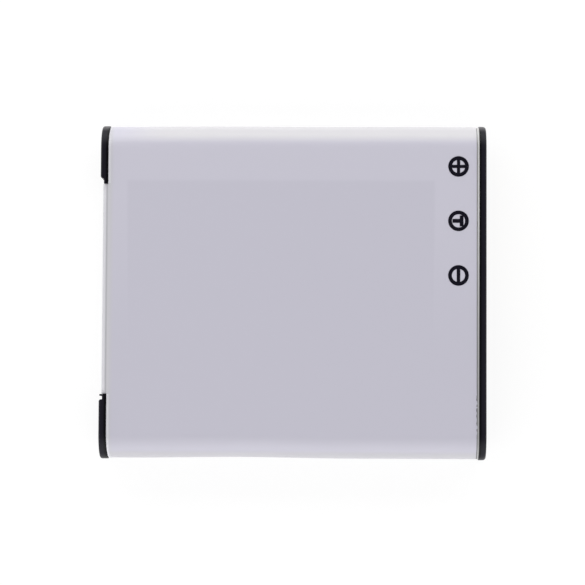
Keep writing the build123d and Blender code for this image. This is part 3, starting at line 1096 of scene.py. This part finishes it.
# %% [markdown]
# ## Small parts on the board
# Resistors, capacitors and the temperature sensor are ceramic blocks with tinned ends, a millimetre or
# so long. One material can hold both body and ends: the ends are where Y comes near the block's own box,
# and there the finish turns to metal. The box differs from block to block, so each block gets its own
# material.

# %% Chip parts
TINNED = (0.62, 0.62, 0.60)
TINNED_METALLIC = 0.9
TINNED_LENGTH = 0.22
TINNED_SOFT = 0.02
SPECKLES_PER_MM = 10.0
SPECKLE_PALER = 1.3
CHIP_ROUGH = 0.30
SPECKLES_ROUGH = 0.2
RESISTOR_BLACK = (0.02, 0.02, 0.022)
CAPACITOR_TAN = (0.34, 0.22, 0.12)
SENSOR_BLUE = (0.05, 0.09, 0.16)
CHIP_BODIES = {
    "resistor_1": RESISTOR_BLACK,
    "resistor_2": RESISTOR_BLACK,
    "resistor_3": RESISTOR_BLACK,
    "capacitor_1": CAPACITOR_TAN,
    "capacitor_2": CAPACITOR_TAN,
    "temperature_sensor": SENSOR_BLUE,
}


def chip_part_finish(node, body):
    """A ceramic body with a tinned end at each end of its own box."""
    low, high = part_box(node)
    low_line, high_line = low.y / MM + TINNED_LENGTH, high.y / MM - TINNED_LENGTH
    finish = new_finish("chip_ceramic_" + node)
    place = finish.place()
    _, y, _ = finish.axes(place)
    ends = finish.ramp(y, low_line - TINNED_SOFT, low_line + TINNED_SOFT, 1, 0)
    ends = ends + finish.ramp(y, high_line - TINNED_SOFT, high_line + TINNED_SOFT)
    speckle = finish.noise(place, SPECKLES_PER_MM)
    ceramic = finish.blend(speckle, body, [SPECKLE_PALER * value for value in body])
    return finish.surface({
        "Base Color": finish.blend(ends, ceramic, TINNED),
        "Metallic": TINNED_METALLIC * ends,
        "Roughness": CHIP_ROUGH + SPECKLES_ROUGH * speckle,
    })


chip_finishes = [(chip_part_finish(node, body), [node]) for node, body in CHIP_BODIES.items()]

# %% [markdown]
# ## Which piece is made of what
# A CAD piece keeps its shape and only gets a material in its slot. A table of finish and pieces is
# easier to check against a parts list than assignments all over the file. The pieces inside are dressed
# too: the battery may be shown opened one day. The last line names any piece that was forgotten.

# %% Dress every CAD piece
finishes = [
    (film, ["wrap_label"]),
    (cap_black, ["base_cap", "contact_cap"]),
    (frame_pale, ["board_frame"]),
    (tape, ["base_tape"]),
    (aluminium, ["cell", "fill_plug"]),
    (gasket_blue, ["terminal_gasket"]),
    (nickel, ["negative_terminal", "weld_pad", "link_strap", "negative_strap", "positive_strap"]),
    (card, ["lid_insulator"]),
    (cutoff_red, ["heat_cutoff"]),
    (board_green, ["circuit_board"]),
    (chip_black, ["switch_chip", "protection_chip"]),
    (gold, ["plus_contact", "sense_contact", "minus_contact"]),
    *chip_finishes,
]
undressed = set(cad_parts)
for material, nodes in finishes:
    for node in nodes:
        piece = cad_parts[node]
        piece.data.materials.clear()
        piece.data.materials.append(material)
        undressed.discard(node)
print("CAD pieces:", len(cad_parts), "without a finish:", sorted(undressed))

# %% [markdown]
# ## The floor
# The battery lies on a white sweep. To the camera, and in mirrors and glass, the floor glows almost
# white and keeps a soft shadow. To all other rays it is a pale, matt floor, which throws back no more
# light than paper would. Light Path tells these rays apart. A floor lit until it turned white would wash
# the pale label out.

# %% Floor and its finish
FLOOR_SIZE = 900 * MM
FLOOR_BELOW = 0.01 * MM
FLOOR_PAPER = (0.80, 0.82)
FLOOR_MOTTLE_PER_MM = 0.02
FLOOR_SHADOW = 0.20
FLOOR_GLOW = 0.84


def grey(value):
    """A grey as a colour."""
    return (value, value, value)


def floor_finish():
    """Paper to the light, and a white glow with a shadow on it to the camera and to mirrors."""
    finish = new_finish("pale_floor")
    ray_kinds = ["Is Camera Ray", "Is Glossy Ray", "Is Transmission Ray"]
    seen, mirrored, seen_through = finish.node("ShaderNodeLightPath", {}, {}, ray_kinds)
    mottle = finish.noise(finish.place(), FLOOR_MOTTLE_PER_MM)
    paper = finish.blend(mottle, grey(FLOOR_PAPER[0]), grey(FLOOR_PAPER[1]))
    matt = finish.node("ShaderNodeBsdfDiffuse", {}, {"Color": paper}, 0)
    shade = finish.node("ShaderNodeBsdfDiffuse", {}, {"Color": grey(FLOOR_SHADOW)}, 0)
    glow = finish.node("ShaderNodeEmission", {}, {"Color": grey(FLOOR_GLOW), "Strength": 1.0}, 0)
    sweep = finish.node("ShaderNodeAddShader", {}, {0: shade, 1: glow}, 0)
    sockets = {0: seen + mirrored + seen_through, 1: matt, 2: sweep}
    mixed = finish.node("ShaderNodeMixShader", {}, sockets, 0)
    finish.feed(finish.output.inputs["Surface"], mixed)
    finish.tree.nodes.remove(finish.shader)
    return finish.made


start_fresh()
bpy.ops.mesh.primitive_plane_add(size=FLOOR_SIZE, location=(0, 0, -FLOOR_BELOW))
floor = bpy.context.object
floor.name = "floor"
floor.data.materials.append(floor_finish())
print("floor:", FLOOR_SIZE, "m wide")

# %% [markdown]
# ## The light tent
# A product like this is shot in a white tent. Round the horizon the world is white, so the rounded sides
# and the flap melt softly into the background. Straight above it is dark, where a camera would be: the
# flat film then mirrors next to nothing and shows its own colour, and the black caps stay black.

# %% World
HORIZON = 1.0
ZENITH = 0.15
TENT_FROM_TO = (0.2, 0.7)

scene = bpy.context.scene
scene.view_settings.view_transform = "Standard"
tent = Finish(bpy.data.worlds.new("tent"))
_, _, upwards = tent.axes(tent.node("ShaderNodeTexCoord", {}, {}, "Generated"))
brightness = tent.ramp(upwards, *TENT_FROM_TO, HORIZON, ZENITH)
scene.world = tent.surface({"Color": (1, 1, 1), "Strength": brightness})

# %% [markdown]
# ### Three soft panels
# Panels stand along both long sides, the far one brighter, and a weak one at the plain end lights the
# flap. A panel is easier to think of by the angles it fills, seen from the battery, than by its size and
# watts, so a function turns angles into size and place, and brightness into watts. Together with the
# tent they give a level surface just the light at which its colour renders as written.

# %% Panels
from math import cos, pi, sin, tan
from mathutils import Vector

PANEL_AWAY = 500 * MM


def panel(name, round_deg, low_deg, high_deg, wide_deg, radiance):
    """A soft rectangular lamp that looks at the battery, given by the angles it fills from there."""
    middle_deg = (low_deg + high_deg) / 2
    tall = 2 * PANEL_AWAY * tan(radians((high_deg - low_deg) / 2))
    wide = 2 * PANEL_AWAY * tan(radians(wide_deg / 2))
    level = PANEL_AWAY * cos(radians(middle_deg))
    height = PANEL_AWAY * sin(radians(middle_deg))
    place = Vector((level * cos(radians(round_deg)), level * sin(radians(round_deg)), height))
    start_fresh()
    bpy.ops.object.light_add(type="AREA", location=place)
    lamp = bpy.context.object
    lamp.name = name
    lamp.data.shape = "RECTANGLE"
    lamp.data.size = wide
    lamp.data.size_y = tall
    lamp.data.energy = radiance * pi * wide * tall
    lamp.rotation_euler = (-place).to_track_quat("-Z", "Y").to_euler()
    print(name, "mm:", [round(value / MM) for value in place], "watts:", round(lamp.data.energy, 2))


panel("panel_far", round_deg=90, low_deg=1, high_deg=50, wide_deg=120, radiance=1.86)
panel("panel_near", round_deg=-90, low_deg=7, high_deg=60, wide_deg=120, radiance=1.38)
panel("panel_left", round_deg=180, low_deg=5, high_deg=45, wide_deg=60, radiance=0.6)

# %% [markdown]
# ## The camera
# The picture was taken almost straight down, from about a quarter of a metre above the battery and a
# touch towards its near side, where a little of the feet's side faces shows. The lens follows from that
# distance and from how many pixels a millimetre takes up, and the camera backs off from the point that
# it aims at.

# %% Camera above the battery
PICTURE = 585
PIXELS_PER_MM = 9.686
ABOVE_TOP = 260 * MM
TILT = radians(3.5)
LEAN = radians(1.3)
TURN = radians(0.28)
AIM = Vector((-0.027 * MM, -0.175 * MM, cad_high.z))
SENSOR_WIDTH = 36.0
CLIP_START = 10 * MM

start_fresh()
bpy.ops.object.camera_add()
camera = bpy.context.object
camera.data.sensor_width = SENSOR_WIDTH
camera.data.lens = PIXELS_PER_MM * (ABOVE_TOP / MM) * SENSOR_WIDTH / PICTURE
camera.data.clip_start = CLIP_START
camera.rotation_euler = (TILT, LEAN, TURN)
camera.location = AIM + camera.rotation_euler.to_matrix() @ Vector((0, 0, ABOVE_TOP))
scene.camera = camera
print("lens in mm:", round(camera.data.lens, 2))

# %% [markdown]

# %% [markdown]
